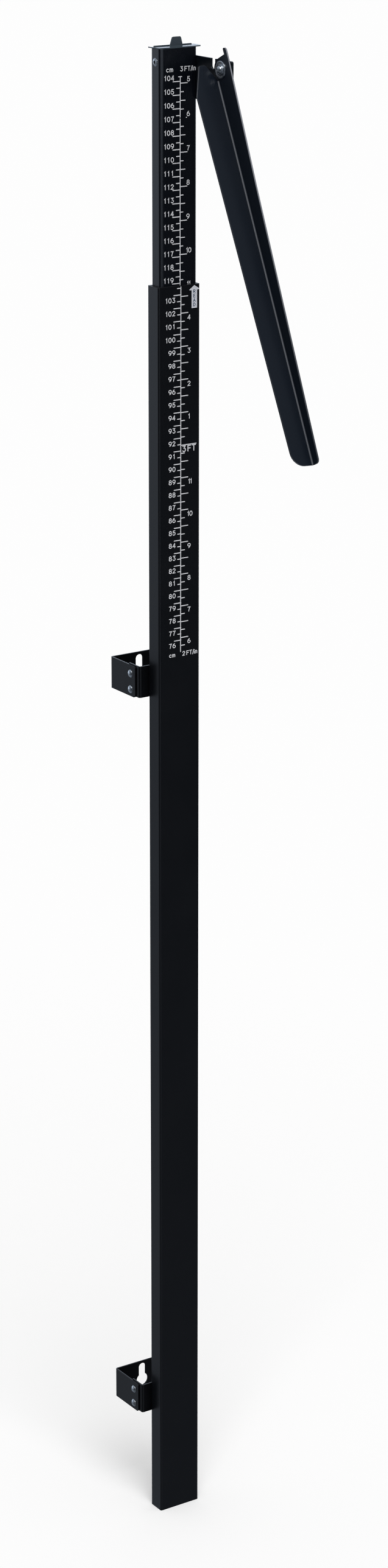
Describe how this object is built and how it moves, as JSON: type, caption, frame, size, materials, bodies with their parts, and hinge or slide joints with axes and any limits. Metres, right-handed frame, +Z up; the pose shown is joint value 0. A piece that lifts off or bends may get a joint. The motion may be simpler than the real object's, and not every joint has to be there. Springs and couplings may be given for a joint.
{
  "type": "mechanical height rod",
  "caption": "Flat telescoping height rod with a printed scale, a hinged headpiece on a side arm, and keyhole brackets that hold it off the wall.",
  "frame": {"origin": "centre of the outer tube's bottom end, which is at floor level, so a height above the origin is the height the scale reads", "axes": "+Z up along the tubes, -Y out of the scale face, +Y to the wall, +X to the right as seen from the scale face"},
  "size_m": [0.0542, 0.216, 1.2201],
  "materials": {
    "tube_paint": "satin black stoved paint",
    "inner_paint": "satin black stoved paint",
    "headpiece_paint": "satin blue-black paint with a fine texture",
    "arm_paint": "satin black paint",
    "bracket_paint": "satin black paint",
    "cap_paint": "semi-gloss black paint",
    "zinc_plate": "bright zinc plate",
    "spring_steel": "rolled, oiled",
    "white_nylon": "natural nylon",
    "black_nylon": "moulded black nylon",
    "buffer_rubber": "matt",
    "bush_brass": "turned"
  },
  "bodies": {
    "case": {"outer_tube": "tube_paint", "bottom_plug": "black_nylon", "plug_buffer": "buffer_rubber", "rim_liner": "black_nylon", "leaf_spring": "spring_steel", "spring_rivet": "zinc_plate", "upper_wall_bracket": "bracket_paint", "upper_tube_bracket": "bracket_paint", "upper_bracket_rivets": "zinc_plate", "upper_tube_rivets": "bracket_paint", "lower_wall_bracket": "bracket_paint", "lower_tube_bracket": "bracket_paint", "lower_bracket_rivets": "zinc_plate", "lower_tube_rivets": "bracket_paint"},
    "rod": {"inner_tube": "inner_paint", "lower_glide": "white_nylon", "glide_pin": "spring_steel", "top_cap": "cap_paint", "arm_plate": "arm_paint", "arm_rivet": "zinc_plate", "pivot_screw": "zinc_plate", "dished_washer": "zinc_plate", "friction_pad": "white_nylon", "spring_washer": "spring_steel", "lock_nut": "zinc_plate"},
    "headpiece": {"headpiece_blade": "headpiece_paint", "pivot_bush": "bush_brass"}
  },
  "joints": [
    {"name": "rod_slide", "type": "slide", "parent": "case", "child": "rod", "axis": [0, 0, 1], "range_m": [-0.137, 0.808]},
    {"name": "headpiece_pivot", "type": "hinge", "parent": "rod", "child": "headpiece", "pos_m": [0.0153, -0.0406, 1.1995], "axis": [-1, 0, 0], "range_deg": [-25.4, 64.6]}
  ]
}
